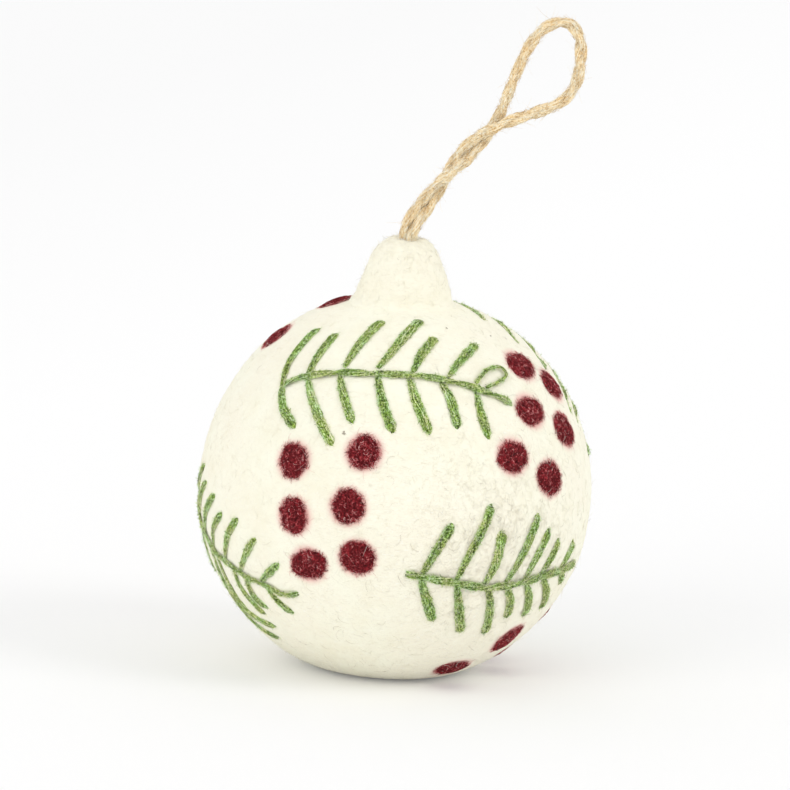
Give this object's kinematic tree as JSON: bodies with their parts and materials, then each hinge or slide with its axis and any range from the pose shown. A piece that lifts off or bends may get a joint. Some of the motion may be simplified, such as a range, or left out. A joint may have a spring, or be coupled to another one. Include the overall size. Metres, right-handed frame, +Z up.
{
  "type": "felt christmas ornament",
  "caption": "Round felt ball ornament with a felt cap, embroidered green sprigs, red felted berry dots and a twisted cord hanger with a loop.",
  "frame": {"origin": "centre of the flat foot under the ball, on the surface it rests on", "axes": "+Z up through the ball and its cap, -Y the front, +X the side the hanger leans to"},
  "size_m": [0.0809, 0.08, 0.1364],
  "materials": {
    "felt": "matte",
    "wool": "matte",
    "jute": "matte",
    "yarn": "matte",
    "berry": "matte"
  },
  "bodies": {
    "ornament": {"wool_core": "wool", "felt_shell": "felt", "felt_cap": "felt", "hanger_knot": "jute", "sprig_front_upper": "yarn", "sprig_front_lower": "yarn", "sprig_left_lower": "yarn", "sprig_back_upper": "yarn", "sprig_back_lower": "yarn", "berry_front_1": "berry", "berry_front_2": "berry", "berry_front_3": "berry", "berry_front_4": "berry", "berry_front_5": "berry", "berry_front_6": "berry", "berry_right_1": "berry", "berry_right_2": "berry", "berry_right_3": "berry", "berry_right_4": "berry", "berry_right_5": "berry", "berry_right_6": "berry", "berry_left_1": "berry", "berry_left_2": "berry", "berry_left_3": "berry", "berry_left_4": "berry", "berry_left_5": "berry", "berry_left_6": "berry", "berry_under_1": "berry", "berry_under_2": "berry", "berry_under_3": "berry", "berry_under_4": "berry", "berry_under_5": "berry", "berry_under_6": "berry", "berry_back_1": "berry", "berry_back_2": "berry", "berry_back_3": "berry", "berry_back_4": "berry", "berry_back_5": "berry", "berry_back_6": "berry"},
    "hanger": {"hanger_cord": "jute"}
  },
  "joints": [
    {"name": "hanger_lean", "type": "hinge", "parent": "ornament", "child": "hanger", "pos_m": [0, 0, 0.09003], "axis": [0, 1, 0], "range_deg": [-95, 30]}
  ]
}
